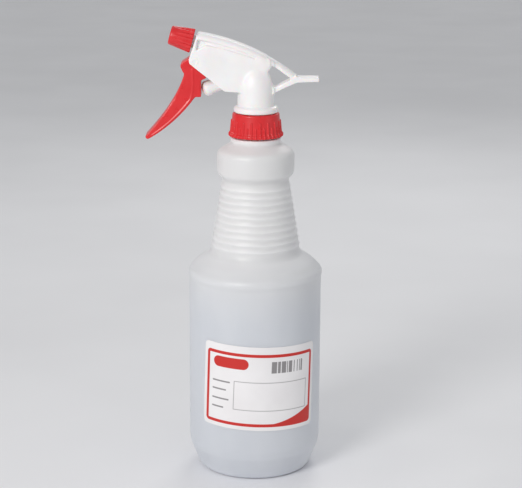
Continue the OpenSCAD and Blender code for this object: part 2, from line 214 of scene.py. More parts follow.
def add_skin(made, size_mm, depth_mm, strength=1.0, stretch=(1, 1, 1)):
    """Small waves in the surface. A second call rides on the first."""
    tree = made.node_tree
    shader = tree.nodes["Principled BSDF"]
    bump = tree.nodes.new("ShaderNodeBump")
    bump.inputs["Strength"].default_value = strength
    bump.inputs["Distance"].default_value = depth_mm * MM
    if shader.inputs["Normal"].is_linked:
        tree.links.new(shader.inputs["Normal"].links[0].from_socket, bump.inputs["Normal"])
    tree.links.new(noise(made, size_mm, 3, stretch), bump.inputs["Height"])
    tree.links.new(bump.outputs["Normal"], shader.inputs["Normal"])
    return made


# %% Mix the milky plastic of the bottle
milky = finish(
    "milky polyethylene", (0.8, 0.81, 0.85), 0.36,
    Subsurface_Weight=0.55, Subsurface_Scale=0.006, Subsurface_Radius=(1.0, 0.95, 1.05),
)
drift_colour(milky, (0.685, 0.715, 0.8), (0.745, 0.77, 0.855), 28, (1, 1, 0.35))


def paint_shade_by_height(made, white_colour, low_mm, high_mm):
    """Painted shade by height: blends the colour up towards a lighter one, so the lower body stays
    darker.
    """
    tree = made.node_tree
    place = tree.nodes.new("ShaderNodeTexCoord")
    parts = tree.nodes.new("ShaderNodeSeparateXYZ")
    share = tree.nodes.new("ShaderNodeMapRange")
    share.interpolation_type = "SMOOTHSTEP"
    share.inputs["From Min"].default_value = low_mm * MM
    share.inputs["From Max"].default_value = high_mm * MM
    blend = tree.nodes.new("ShaderNodeMix")
    blend.data_type = "RGBA"
    colours = [socket for socket in blend.inputs if socket.type == "RGBA"]
    colours[1].default_value = (*white_colour, 1)
    base = tree.nodes["Principled BSDF"].inputs["Base Color"]
    tree.links.new(base.links[0].from_socket, colours[0])
    tree.links.new(place.outputs["Object"], parts.inputs["Vector"])
    tree.links.new(parts.outputs["Z"], share.inputs["Value"])
    tree.links.new(share.outputs["Result"], blend.inputs["Factor"])
    tree.links.new([socket for socket in blend.outputs if socket.type == "RGBA"][0], base)
    return made


# Painted shade: the bottle stays darker below 95 mm and lightens up to 160 mm, towards the grip and
# neck.
paint_shade_by_height(milky, (0.9, 0.885, 0.905), 95, 160)
drift_gloss(milky, 0.3, 0.44, 9, (1, 1, 0.3))
add_skin(milky, 14, 0.35, 0.5, (1, 1, 0.4))
add_skin(milky, 0.7, 0.02, 0.5)
print("bottle finish:", milky.name)

# %% Mix the moulded plastics
red = finish("red polypropylene", (0.7, 0.02, 0.024), 0.3, Specular_IOR_Level=0.5)
drift_colour(red, (0.66, 0.017, 0.021), (0.74, 0.024, 0.028), 11)
drift_gloss(red, 0.25, 0.37, 5)
add_skin(red, 3.5, 0.05, 0.45)
add_skin(red, 0.4, 0.008, 0.5)

white = finish(
    "white polypropylene", (0.87, 0.86, 0.855), 0.34, Subsurface_Weight=0.25, Subsurface_Scale=0.002
)
drift_colour(white, (0.87, 0.845, 0.84), (0.91, 0.89, 0.885), 13)
drift_gloss(white, 0.28, 0.42, 6)
add_skin(white, 4, 0.05, 0.45)
add_skin(white, 0.4, 0.008, 0.5)

# %% Mix the hidden plastics, rubber and steel
tubing = finish(
    "clear grey tubing", (0.75, 0.78, 0.8), 0.25, Subsurface_Weight=0.4, Subsurface_Scale=0.002
)
drift_gloss(tubing, 0.2, 0.34, 3, (1, 1, 0.15))
add_skin(tubing, 1.2, 0.03, 0.5, (1, 1, 0.1))

rubber = finish("seal rubber", (0.03, 0.03, 0.033), 0.6)
drift_gloss(rubber, 0.5, 0.75, 2)
add_skin(rubber, 0.5, 0.02, 0.6)

steel = finish("drawn steel", (0.55, 0.56, 0.58), 0.25, Metallic=1.0)
drift_gloss(steel, 0.18, 0.38, 1.5, (1, 1, 0.2))
add_skin(steel, 0.3, 0.006, 0.5, (1, 1, 0.15))

liner = finish("foam liner", (0.82, 0.82, 0.8), 0.7)
drift_gloss(liner, 0.6, 0.8, 1.5)
add_skin(liner, 0.35, 0.04, 0.7)

slate = finish("pale table", (0.82, 0.82, 0.83), 0.55)
drift_colour(slate, (0.8, 0.8, 0.81), (0.84, 0.84, 0.85), 180)
drift_gloss(slate, 0.5, 0.62, 60)
add_skin(slate, 1.5, 0.02, 0.3)
table.data.materials.append(slate)
print("finishes:", len(bpy.data.materials))

# %% [markdown]
# ## The bottle
# A blow-moulded bottle is a thin wall with no sharp corner anywhere: the foot rolls under, the
# panel that carries the label is sunk half a millimetre, and the grip is a cone with soft rings.
# It is round, so a profile turned about the axis is the natural way. The profile is laid out as
# points, cut into short steps, and its corners are worn away, as blown plastic never fills a
# corner.

# %% Lay out the wall
def arc(centre, radius, start, end, count=8):
    """Points on an arc, with angles in degrees, in mm."""
    return [
        (centre[0] + radius * math.cos(math.radians(start + (end - start) * i / count)),
         centre[1] + radius * math.sin(math.radians(start + (end - start) * i / count)))
        for i in range(count + 1)
    ]


def bow(a, b, c, count=24):
    """Points on a curve from a to c, pulled towards b."""
    t = np.linspace(0, 1, count + 1)[:, None]
    a, b, c = (np.array(p, float) for p in (a, b, c))
    return [tuple(p) for p in (1 - t) ** 2 * a + 2 * t * (1 - t) * b + t * t * c]


def short_steps(points, step):
    """The same line in short steps."""
    out = [points[0]]
    for a, b in zip(points[:-1], points[1:]):
        count = max(1, math.ceil(math.dist(a, b) / step))
        for i in range(1, count + 1):
            out.append((a[0] + (b[0] - a[0]) * i / count, a[1] + (b[1] - a[1]) * i / count))
    return out


def wear(points, times):
    """Rounds the corners of a line and keeps its ends."""
    line = np.array(points, float)
    for _ in range(times):
        line[1:-1] = (line[:-2] + 2 * line[1:-1] + line[2:]) / 4
    return [tuple(p) for p in line]


# %% Measure the bottle
bottle_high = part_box("bottle")[1]
BEAD_R = bottle_high.x / MM
BODY_R = BEAD_R - 0.5
NECK_TOP = bottle_high.z / MM
NECK_R, NECK_BORE_R, NECK_BASE_R = 12.5, 10.5, 15.8
WALL = 1.1
CONE_FOOT, WAIST = (28.0, 144.4), (20.7, 189.0)
RING_COUNT, RING_LOW, RING_HEIGHT, RING_HALF_WIDTH = 10, 147.5, 0.62, 0.95
RING_STEP = (WAIST[1] - RING_LOW) / RING_COUNT
print("bottle is", round(2 * BEAD_R, 1), "mm across and", round(NECK_TOP, 1), "mm to the mouth")


# %% Draw one side of the wall
def bottle_line(t):
    """The wall's outer line, or its inner line where t is the wall's thickness."""
    foot = [(0, 4 + t), (24.2, 3 + t), (30.2, t)] + arc((32.2, 4.6), 4.6 - t, -90, -30, 6)
    panel = [(BODY_R - 0.8 - t, 15), (BODY_R - t, 20), (BODY_R - t, 126), (BEAD_R - t, 128.2)]
    shoulder = arc((BEAD_R - 4, 129.4), 4 - t, 2, 45, 6)
    sweep_in = [(37 - t, 136.4 - t / 2), (33 - t, 139.1 - t)]
    sweep_in += [(29.6 - t, 141.3 - t), (28.4 - t, 143)]
    grip = [(CONE_FOOT[0] - t, CONE_FOOT[1]), (WAIST[0] + 0.2 - t, 188.2), (WAIST[0] - t, WAIST[1])]
    bulb = arc((19.9, 195), 4.4 - t, -60, 0, 7) + arc((20.1, 204.6), 4.2 - t, 0, 50, 7)
    bulb += [(16.4 - t, 211.6 - t), (NECK_BASE_R - t, 212.6)]
    return foot + panel + shoulder + sweep_in + grip + bulb


def grip_rings(line):
    """Adds the soft rings of the grip."""
    out = []
    for r, z in line:
        nearest = round((z - RING_LOW) / RING_STEP)
        if 0 <= nearest < RING_COUNT and CONE_FOOT[1] < z < WAIST[1]:
            away = (z - RING_LOW - nearest * RING_STEP) / RING_HALF_WIDTH
            r += RING_HEIGHT * math.exp(-away * away)
        out.append((r, z))
    return out


outside = grip_rings(wear(short_steps(bottle_line(0), 0.55), 6))
step_up = [(NECK_BASE_R, 212.6), (NECK_BASE_R, 215.6), (NECK_R, 215.6), (NECK_R, NECK_TOP)]
collar = wear(short_steps(step_up, 0.4), 2)
lip = [(NECK_R, NECK_TOP - 0.3), (NECK_R - 0.3, NECK_TOP), (NECK_BORE_R + 0.3, NECK_TOP)]
bore = short_steps([(NECK_BORE_R, 214.5), (NECK_BORE_R, NECK_TOP)], 1.5)
inside = wear(short_steps(bottle_line(WALL), 1.4), 3)
bottle_loop = outside + collar[1:-1] + lip + bore[::-1][1:] + inside[::-1]
print("points in the wall's outline:", len(bottle_loop))


# %% Turn the wall about its axis
def turned(name, line, steps, place=Matrix.Identity(4), shape=None, closed=True, more_angles=()):
    """Turns an outline of (radius, height) points in mm. shape(angle, radius, height) carves it."""
    outline = list(line) + ([line[0]] if closed else [])
    radius, height = np.array(outline, float).T
    rows = []
    for angle in sorted({*np.arange(steps) * math.tau / steps, *more_angles}):
        r = radius if shape is None else shape(angle, radius, height)
        rows.append(np.stack([r * math.cos(angle), r * math.sin(angle), height], 1) * MM)
    rows.append(rows[0])
    obj = skin_rows(name, [[tuple(p) for p in row] for row in rows], closed_rows=False)
    obj.data.transform(place)
    return obj


def dress(obj, body, finish_used, slot, *nodes):
    """Gives a piece its finish, its body and the frame pieces that it stands for."""
    obj.data.materials.clear()
    obj.data.materials.append(finish_used)
    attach(obj, body)
    if nodes:
        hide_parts(*nodes)
    print(obj.name, "has", len(obj.data.polygons), "faces")
    return obj


# %% Turn the bottle, with the fine line where the mould's halves met
SEAM_HEIGHT, SEAM_HALF_WIDTH = 0.1, 0.3


def parting_line(angle, radius, height):
    """A ridge a tenth of a millimetre high down each side, from the foot to the neck."""
    away = abs(math.sin(angle)) * (BODY_R - 2)
    rise = SEAM_HEIGHT * math.exp(-((away / SEAM_HALF_WIDTH) ** 2))
    outer_wall = np.arange(len(radius)) < len(outside)
    return radius + np.where(outer_wall & (radius > NECK_R + 1.5), rise, 0)


offsets = np.radians([-0.9, -0.6, -0.3, 0.3, 0.6, 0.9])
beside_line = [(side + offset) % math.tau for side in (0, math.pi) for offset in offsets]
bottle_wall = turned(
    "bottle_wall", bottle_loop, 192, shape=parting_line, closed=False, more_angles=beside_line
)

# %% [markdown]
# ## Threads
# The neck has one raised ridge that climbs a turn and a quarter, and the nut has the matching one
# inside. A ridge could be cut with a screw modifier, but moulded threads fade in and out at their
# ends. So the ridge is swept along a rising circle, and it shrinks to nothing at both
# ends.

# %% Sweep a ridge
def ridge(name, root, crest, pitch, turns, low, width, place=Matrix.Identity(4)):
    """A rounded thread ridge, in mm. A crest below the root makes an inside thread."""
    count = int(turns * 64)
    rows = []
    for i in range(count + 1):
        along = i / count
        angle = math.tau * turns * along
        fade = math.sin(min(1.0, 9 * turns * min(along, 1 - along)) * math.pi / 2)
        rise = low + pitch * turns * along
        row = []
        for k in range(12):
            q = math.tau * k / 12
            out = max(-0.25, math.cos(q)) * (fade if math.cos(q) > 0 else 1)
            r = root + (crest - root) * out
            z = rise + math.sin(q) * width / 2 * (0.35 + 0.65 * fade)
            row.append((r * math.cos(angle) * MM, r * math.sin(angle) * MM, z * MM))
        rows.append(row)
    obj = skin_rows(name, rows)
    cap_ends(obj)
    obj.data.transform(place)
    return obj


def cap_ends(obj):
    """Closes the open ends of a swept piece."""
    shape = bmesh.new()
    shape.from_mesh(obj.data)
    bmesh.ops.holes_fill(shape, edges=[e for e in shape.edges if e.is_boundary], sides=0)
    bmesh.ops.recalc_face_normals(shape, faces=shape.faces)
    shape.to_mesh(obj.data)
    shape.free()


NECK_PITCH, THREAD_LOW = 4.23, 219.9
neck_ridge = ridge("neck_ridge", NECK_R, NECK_R + 1.1, NECK_PITCH, 1.25, THREAD_LOW, 2.5)
dress(bottle_wall, "bottle_body", milky, "bottle_plastic", "bottle")
dress(neck_ridge, "bottle_body", milky, "bottle_plastic")

# %% [markdown]
# ## The label
# The label is a film stuck round the front of the bottle, a little turned and not quite level, as
# labels are. A flat sheet could be wrapped with a modifier, but its print has to stay sharp. So
# the sheet is laid straight on the round wall as a fine grid, and each of its points keeps its
# own place on the flat label, in millimetres, for the print to use.

# %% Lay the label on the wall
LABEL_W, LABEL_H, LABEL_THICK, GLUE_GAP = 79.0, 55.0, 0.3, 0.03
LABEL_TURN, LABEL_TILT, LABEL_LOW, CORNER = 5.8, -2.2, 35.5, 3.0


def label_point(u, v, lift):
    """A place on the flat label, from its top left corner, carried onto the bottle."""
    x, y = u - LABEL_W / 2, LABEL_H / 2 - v
    tilt, turn = math.radians(LABEL_TILT), math.radians(LABEL_TURN)
    across = x * math.cos(tilt) - y * math.sin(tilt)
    up = x * math.sin(tilt) + y * math.cos(tilt)
    angle = across / BODY_R + turn
    r, z = BODY_R + lift, LABEL_LOW + LABEL_H / 2 + up
    return (r * math.sin(angle) * MM, -r * math.cos(angle) * MM, z * MM)


def label_column(u):
    """Top and bottom of the label at u, with its corners rounded."""
    near = min(u, LABEL_W - u)
    cut = 0 if near >= CORNER else CORNER - math.sqrt(max(0, CORNER**2 - (CORNER - near) ** 2))
    return cut, LABEL_H - cut


across = sorted({*np.linspace(0, CORNER, 9), *np.linspace(CORNER, LABEL_W - CORNER, 122),
                 *np.linspace(LABEL_W - CORNER, LABEL_W, 9)})
flat = []
for u in across:
    top, low = label_column(u)
    flat.append([(u, top + (low - top) * t) for t in np.linspace(0, 1, 90)])
print("label grid:", len(flat), "by", len(flat[0]))


# %% Give the label its thickness and its flat places
def label_sheet(name):
    """The sheet's face, back and edge as one closed piece, with the flat places as a map."""
    shape = bmesh.new()
    places = shape.loops.layers.uv.new("flat_place")
    grids = []
    for lift in (LABEL_THICK, GLUE_GAP):
        place = [[label_point(u, v, lift) for u, v in column] for column in flat]
        grids.append([[shape.verts.new(point) for point in column] for column in place])
    spot = {}
    for grid in grids:
        for verts, column in zip(grid, flat):
            spot.update(zip(verts, column))
    face_grid, back_grid = grids
    wide, tall = len(flat), len(flat[0])

    def face(*verts):
        made = shape.faces.new(verts)
        for loop in made.loops:
            u, v = spot[loop.vert]
            loop[places].uv = (u / 100, 1 - v / 100)

    for i in range(wide - 1):
        for j in range(tall - 1):
            face(face_grid[i][j], face_grid[i][j + 1], face_grid[i + 1][j + 1], face_grid[i + 1][j])
            face(back_grid[i][j], back_grid[i + 1][j], back_grid[i + 1][j + 1], back_grid[i][j + 1])
    rim = [(i, 0) for i in range(wide)]
    rim += [(wide - 1, j) for j in range(1, tall)]
    rim += [(i, tall - 1) for i in range(wide - 2, -1, -1)]
    rim += [(0, j) for j in range(tall - 2, 0, -1)]
    for (i, j), (m, n) in zip(rim, rim[1:] + rim[:1]):
        face(face_grid[i][j], face_grid[m][n], back_grid[m][n], back_grid[i][j])
    bmesh.ops.recalc_face_normals(shape, faces=shape.faces)
    mesh = bpy.data.meshes.new(name)
    shape.to_mesh(mesh)
    shape.free()
    mesh.shade_smooth()
    mesh.set_sharp_from_angle(angle=math.radians(38))
    return add_to_scene(bpy.data.objects.new(name, mesh))


label = label_sheet("label_film")

# %% [markdown]
# ## The print
# The print is a red frame, a plain mark, a block of bars, a box to write in, a few short rules
# and a curved red corner. Loose sheets of ink would flicker against the film, so the print is
# worked out by nodes from each point's place on the flat label: a shape is the places whose
# distance to it is small.

# %% Nodes that draw
film = finish("printed film", (0.86, 0.84, 0.845), 0.42)
tree = film.node_tree
flat_place = tree.nodes.new("ShaderNodeUVMap")
flat_place.uv_map = "flat_place"
split = tree.nodes.new("ShaderNodeSeparateXYZ")
tree.links.new(flat_place.outputs["UV"], split.inputs["Vector"])


def sum_of(operation, *values, clamp=False):
    """One step of arithmetic on sockets or numbers."""
    step = tree.nodes.new("ShaderNodeMath")
    step.operation = operation
    step.use_clamp = clamp
    for socket, value in zip(step.inputs, values):
        if isinstance(value, (int, float)):
            socket.default_value = value
        else:
            tree.links.new(value, socket)
    return step.outputs["Value"]


mm_right = sum_of("MULTIPLY", split.outputs["X"], 100)
mm_down = sum_of("MULTIPLY", sum_of("SUBTRACT", 1, split.outputs["Y"]), 100)


def edge_of(distance, soft=0.12):
    """1 inside a shape and 0 outside, from its signed distance in mm."""
    return sum_of("SUBTRACT", 0.5, sum_of("DIVIDE", distance, 2 * soft), clamp=True)


def round_box(left, right, top, low, corner):
    """Signed distance to a rounded box on the flat label."""
    from_mid_x = sum_of("ABSOLUTE", sum_of("SUBTRACT", mm_right, (left + right) / 2))
    from_mid_y = sum_of("ABSOLUTE", sum_of("SUBTRACT", mm_down, (top + low) / 2))
    off_x = sum_of("SUBTRACT", from_mid_x, (right - left) / 2 - corner)
    off_y = sum_of("SUBTRACT", from_mid_y, (low - top) / 2 - corner)
    out_x, out_y = sum_of("MAXIMUM", off_x, 0), sum_of("MAXIMUM", off_y, 0)
    squares = sum_of("ADD", sum_of("MULTIPLY", out_x, out_x), sum_of("MULTIPLY", out_y, out_y))
    outside_part = sum_of("SQRT", squares)
    inside_part = sum_of("MINIMUM", sum_of("MAXIMUM", off_x, off_y), 0)
    return sum_of("SUBTRACT", sum_of("ADD", outside_part, inside_part), corner)


def line_round(distance, width):
    """The line of that width just inside a shape's edge."""
    from_middle = sum_of("ABSOLUTE", sum_of("ADD", distance, width / 2))
    return edge_of(sum_of("SUBTRACT", from_middle, width / 2))


# %% Draw the frame and the marks
frame_area = round_box(2.3, LABEL_W - 2.4, 4.7, LABEL_H - 2.5, 2.4)
frame_line = line_round(frame_area, 2.0)
plain_mark = edge_of(round_box(7.5, 31, 8.2, 15.2, 3.5))
write_in_box = sum_of("MULTIPLY", line_round(round_box(22, 71.8, 23, 42, 0.5), 0.5), 0.75)
short_rules = 0
for wide, at in ((12.5, 24.6), (10, 30), (12, 36.2), (8.5, 41.8)):
    rule = edge_of(round_box(7, 7 + wide, at - 0.5, at + 0.5, 0.4))
    short_rules = sum_of("MAXIMUM", short_rules, rule)

# %% Draw the bars and the red corner
stripe = tree.nodes.new("ShaderNodeTexWhiteNoise")
stripe.noise_dimensions = "1D"
tree.links.new(sum_of("FLOOR", sum_of("DIVIDE", mm_right, 0.62)), stripe.inputs["W"])
bar_area = edge_of(round_box(45.5, 68, 9.5, 17, 0.1))
bars = sum_of("MULTIPLY", bar_area, sum_of("GREATER_THAN", stripe.outputs["Value"], 0.42))
along_corner = sum_of("DIVIDE", sum_of("SUBTRACT", mm_right, 34), 41, clamp=True)
corner_height = sum_of("MULTIPLY", sum_of("MULTIPLY", along_corner, along_corner), 10.5)
below_curve = sum_of("SUBTRACT", sum_of("SUBTRACT", LABEL_H - 3.2, corner_height), mm_down)
red_corner = sum_of("MULTIPLY", edge_of(below_curve), edge_of(frame_area))
red_ink = sum_of("MAXIMUM", sum_of("MAXIMUM", frame_line, plain_mark), red_corner)
grey_ink = sum_of("MAXIMUM", sum_of("MAXIMUM", write_in_box, short_rules), bars)


# %% Lay the ink on the film
def ink_over(below, mask, colour):
    """Ink of one colour over what is below, where the mask is 1."""
    mix = tree.nodes.new("ShaderNodeMix")
    mix.data_type = "RGBA"
    rgba = [s for s in mix.inputs if s.type == "RGBA"]
    tree.links.new(mask, mix.inputs["Factor"])
    tree.links.new(below, rgba[0])
    rgba[1].default_value = (*colour, 1)
    return [s for s in mix.outputs if s.type == "RGBA"][0]


drift_colour(film, (0.84, 0.82, 0.825), (0.88, 0.865, 0.868), 17)
shader = tree.nodes["Principled BSDF"]
paper = shader.inputs["Base Color"].links[0].from_socket
with_red = ink_over(paper, red_ink, (0.6, 0.02, 0.014))
with_grey = ink_over(with_red, sum_of("MULTIPLY", grey_ink, 0.8), (0.13, 0.12, 0.125))
tree.links.new(with_grey, shader.inputs["Base Color"])
drift_gloss(film, 0.36, 0.5, 4)
add_skin(film, 6, 0.06, 0.5)
add_skin(film, 0.3, 0.006, 0.5)
dress(label, "bottle_body", film, "label_paper", "front_label")

# %% [markdown]
# ## The nut
# The nut screws the head down onto the neck. Its grip is a ring of thin ribs, long and short by
# turns, that stand on a flared band and end in round tips. Each rib could be its own bar, but
# then every one would meet the wall in a hard seam. So the wall is one turned skin whose radius
# swells where a rib passes, as it does in the mould.

# %% Shape the nut's wall
nut_low, nut_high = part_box("closure_nut")
NUT_LOW, NUT_TOP = nut_low.z / MM, nut_high.z / MM
NUT_RIBS, RIB_HALF_WIDTH, RIB_HEIGHT = 36, 0.62, 0.62
LONG_RIB_END, SHORT_RIB_END = NUT_TOP - 4.9, NUT_TOP - 8.3
NUT_MIDDLE_R, NUT_BORE_R, NUT_SHOULDER_R = 15.3, 13.9, 13.25
print("nut from", round(NUT_LOW, 1), "to", round(NUT_TOP, 1), "mm")


def swell(distance, half_width):
    """Height of a round-backed rib, from 1 on its line to 0 at its side."""
    return np.sqrt(np.clip(1 - (distance / half_width) ** 2, 0, 1))


def nut_ribs(angle, radius, height):
    """The radius of the nut's outside, with long and short ribs by turns."""
    step = math.tau / NUT_RIBS
    which = round(angle / step)
    aside = (angle - which * step) * NUT_MIDDLE_R
    above = np.maximum(0, height - (LONG_RIB_END if which % 2 == 0 else SHORT_RIB_END))
    below = np.maximum(0, NUT_LOW + 0.6 - height)
    rise = RIB_HEIGHT * swell(np.sqrt(aside**2 + above**2 + below**2), RIB_HALF_WIDTH)
    return radius + np.where(radius > NUT_BORE_R + 0.3, rise, 0)


band = [(14.2, 0), (15.9, 0), (16.35, 0.15), (16.6, 0.5), (16.6, 1.7), (16.4, 2.15), (15.95, 2.5)]
outer = [(r, NUT_LOW + up) for r, up in band] + [(15.7, NUT_LOW + 3)]
outer = short_steps(outer + [(14.75, NUT_TOP - 1.5)], 0.25)
outer += arc((13.55, NUT_TOP - 1.25), 1.2, 0, 90, 8)
inner = [(NECK_BORE_R, NUT_TOP), (NECK_BORE_R, NUT_TOP - 1.5), (NUT_SHOULDER_R, NUT_TOP - 1.5)]
inner += [(NUT_SHOULDER_R, NECK_TOP - 0.5), (NUT_BORE_R, NECK_TOP - 0.5), (NUT_BORE_R, NUT_LOW)]
nut = turned("nut", outer + inner, NUT_RIBS * 18, shape=nut_ribs)
nut_thread_low = THREAD_LOW - NECK_PITCH / 2
nut_ridge = ridge("nut_ridge", NUT_BORE_R, NUT_BORE_R - 1.1, NECK_PITCH, 1.2, nut_thread_low, 2.2)
dress(nut, "collar", red, "red_plastic", "closure_nut")
dress(nut_ridge, "collar", red, "red_plastic")

# %% [markdown]
# ## The nozzle cap
# The cap turns on a short threaded barrel that points forward and up. Its grip is a ring of round
# grooves, deep at the back and running out before the smooth front. A row of cylinders could be
# cut away, but their ends would be blunt. Carving the turned radius lets each groove fade out.

# %% Find the barrel's direction
def aimed(origin_mm, tilt_deg):
    """A place whose own Z points forward, raised by the tilt."""
    turn = Matrix.Rotation(math.radians(tilt_deg - 90), 4, "Y")
    return Matrix.Translation(Vector(origin_mm) * MM) @ turn


barrel_place = aimed((-38.8, 0, 275.5), 15)
CAP_GROOVES, CAP_MIDDLE_R, CAP_BORE_R, CAP_PITCH = 16, 7, 5.2, 2.4
GROOVE_DEPTH, GROOVE_HALF_WIDTH, GROOVE_END = 0.78, 0.78, 12.2


def cap_grooves(angle, radius, height):
    """The radius of the cap's outside, with grooves that fade towards the front."""
    step = math.tau / CAP_GROOVES
    aside = (angle - round(angle / step) * step) * CAP_MIDDLE_R
    fade = np.clip((GROOVE_END - height) / 8.5, 0, 1) ** 0.8
    depth = GROOVE_DEPTH * fade * np.exp(-((aside / GROOVE_HALF_WIDTH) ** 2))
    return radius - np.where(radius > 5.9, depth, 0)


# %% Turn the cap
cap_outer = [(5.5, 0.6), (7.1, 0.6)] + arc((7.1, 1.1), 0.5, -90, 0, 4)
cap_outer += short_steps([(7.58, 1.4), (6.0, 13.8)], 0.35)
cap_outer += arc((4.7, 13.95), 1.25, 6, 90, 8) + arc((1.6, 14.6), 0.6, 90, 180, 5)
jet = [(1.0, 14.25), (0.45, 14.1), (0.45, 12.9)]
cap_inner = [(3.8, 12.9), (3.8, 9.5), (CAP_BORE_R, 9.5), (CAP_BORE_R, 0.6)]
cap_line = cap_outer + jet + cap_inner
cap = turned("nozzle_cap_skin", cap_line, CAP_GROOVES * 28, barrel_place, cap_grooves)
cap_ridge = ridge("cap_ridge", CAP_BORE_R, CAP_BORE_R - 0.7, CAP_PITCH, 2, 1.2, 1.3, barrel_place)
dress(cap, "nozzle", red, "red_plastic", "nozzle_cap")
dress(cap_ridge, "nozzle", red, "red_plastic")

# %% [markdown]
# ## The plunger
# The white plunger is a hollow rod with a round head. The trigger's pad leans on the head and
# pushes the rod into its cylinder. It is round, so it is turned, and its rim gets a small radius
# because a bare corner would catch the light as a hard line.

# %% Turn the plunger
cylinder_place = aimed((-0.5, 0, 257.65), -21)
ROD_R, ROD_BORE_R, GROOVE_R, ROD_END, SPRING_END = 4.2, 3.1, 3.7, 10.5, 24.5
HEAD_AT, HEAD_R, HEAD_RIM_R = 29.4, 6, 4.7
rim = HEAD_AT + math.sqrt(HEAD_R**2 - HEAD_RIM_R**2)
head = arc((0, HEAD_AT), HEAD_R, math.degrees(math.asin((rim - HEAD_AT) / HEAD_R)), 90, 14)
plunger_line = [(ROD_BORE_R, ROD_END), (ROD_R - 0.2, ROD_END), (ROD_R, ROD_END + 0.2)]
for low, high in ((11.5, 12.9), (17, 18.4)):
    plunger_line += [(ROD_R, low), (GROOVE_R, low), (GROOVE_R, high), (ROD_R, high)]
plunger_line += short_steps([(ROD_R, 18.4), (ROD_R, rim - 6)], 1)[1:]
flare = [(ROD_R, rim - 6), (HEAD_RIM_R, rim - 2), (HEAD_RIM_R, rim - 0.3), head[0]]
plunger_line += wear(short_steps(flare, 0.5), 2)[1:]
plunger_line += head[1:] + [(0, SPRING_END), (ROD_BORE_R, SPRING_END), (ROD_BORE_R, ROD_END)]
plunger = turned("plunger", plunger_line, 96, cylinder_place, closed=False)
dress(plunger, "plunger", white, "white_plastic", "piston")

# %% [markdown]
# ## The springs
# The return spring pushes the plunger out again, and a small one holds the outlet valve shut. A
# wire swept along a coil gives both. Each has to shorten as its piece moves, but here each is only
# wound in place: the return spring in its cylinder and the valve's spring in the nozzle's barrel.

# %% Wind a spring
def wound(name, coil_r, wire_r, length, coils, start, place):
    """A round wire in a coil of even pitch, in mm."""
    count, up = coils * 36, np.array([0, 0, 1])
    rows = []
    for i in range(count + 1):
        along = i / count
        angle = math.tau * coils * along
        rise = start + wire_r + (length - 2 * wire_r) * along
        middle_at = np.array([coil_r * math.cos(angle), coil_r * math.sin(angle), rise])
        out = np.array([math.cos(angle), math.sin(angle), 0])
        turns_round = np.arange(10) * math.tau / 10
        ring = [middle_at + wire_r * (math.cos(q) * out + math.sin(q) * up) for q in turns_round]
        rows.append([tuple(p * MM) for p in ring])
    obj = skin_rows(name, rows)
    cap_ends(obj)
    obj.data.transform(place)
    return obj


SEAT_AT, VALVE_COIL_AT, VALVE_COIL_LENGTH = 1, -11.3, 7.2
return_length = SPRING_END - SEAT_AT - 0.1
return_spring = wound("return_coil", 2.5, 0.35, return_length, 9, SEAT_AT, cylinder_place)
dress(return_spring, "head", steel, "steel", "return_spring")
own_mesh(return_spring)
valve_coil = wound("valve_coil", 1.7, 0.25, VALVE_COIL_LENGTH, 5, VALVE_COIL_AT, barrel_place)
dress(valve_coil, "head", steel, "steel", "valve_spring")
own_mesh(valve_coil)

# %% [markdown]
# ## The moulded skins
# The shroud, the trigger and the pump moulding are free shapes with walls, hollows and bores.
# Their working shapes are right, but every edge is knife-sharp, and a real mould leaves a small
# radius on each. Bevelling hundreds of mixed edges by hand would be slow and would break where
# they crowd. So each shape is wrapped again in small even squares, and its surface is relaxed
# until the edges soften.

# %% Wrap a working shape again
def wrapped(name, node, square_mm, relax):
    """A copy of a frame piece with an even skin and softened edges."""
    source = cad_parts[node]
    obj = add_to_scene(bpy.data.objects.new(name, source.data.copy()))
    tidy(obj)
    skin = obj.modifiers.new("even skin", "REMESH")
    skin.mode, skin.voxel_size = "VOXEL", square_mm * MM
    soft = obj.modifiers.new("relax", "SMOOTH")
    soft.factor, soft.iterations = 0.5, relax
    graph = bpy.context.evaluated_depsgraph_get()
    made = bpy.data.meshes.new_from_object(obj.evaluated_get(graph))
    obj.modifiers.clear()
    obj.data = made
    obj.data.name = name
    made.shade_smooth()
    return obj


def points_of(obj):
    flat_list = np.zeros(len(obj.data.vertices) * 3)
    obj.data.vertices.foreach_get("co", flat_list)
    return flat_list.reshape(-1, 3) / MM


def set_points(obj, points):
    obj.data.vertices.foreach_set("co", (points * MM).ravel())
    obj.data.update()


def nearest_on(line, points):
    """Seen from the side: which point of a line is nearest to each point, and how far off."""
    which, gap = np.zeros(len(points), int), np.zeros(len(points))
    for start in range(0, len(points), 20000):
        part = points[start:start + 20000, (0, 2)]
        square = ((part[:, None] - line[None]) ** 2).sum(2)
        which[start:start + 20000] = square.argmin(1)
        gap[start:start + 20000] = np.sqrt(square.min(1))
    return which, gap


SQUARE = 0.32
shroud = wrapped("shroud_skin", "shroud", SQUARE, 6)
print("shroud faces:", len(shroud.data.polygons))

# %% [markdown]
# ## The shroud's spine
# Along the top of the shroud runs a rounded spine, and the flat sides flow into the round sleeve
# below. The spine is shaped by moving the corner's points from a square onto a circle, which
# keeps the width and the height. The flow into the sleeve comes from relaxing only the outer
# points near it.

# %% Round the spine
SPINE = np.array(bow((-36.2, 281.3), (-2.2, 275.8), (24.5, 255.4), 160))
SPINE_ROUND, CHEEK_HALF, TAIL_HALF, TAIL_FROM = 3.4, 7.5, 5.0, 7


def below_spine(points):
    """How far each point lies under the spine's line, and the line's direction outwards there."""
    slopes = np.gradient(SPINE, axis=0)
    slopes /= np.linalg.norm(slopes, axis=1)[:, None]
    outward = np.stack([-slopes[:, 1], slopes[:, 0]], 1)
    nearest, _ = nearest_on(SPINE, points)
    gap = points[:, (0, 2)] - SPINE[nearest]
    return -(gap * outward[nearest]).sum(1), outward[nearest], nearest


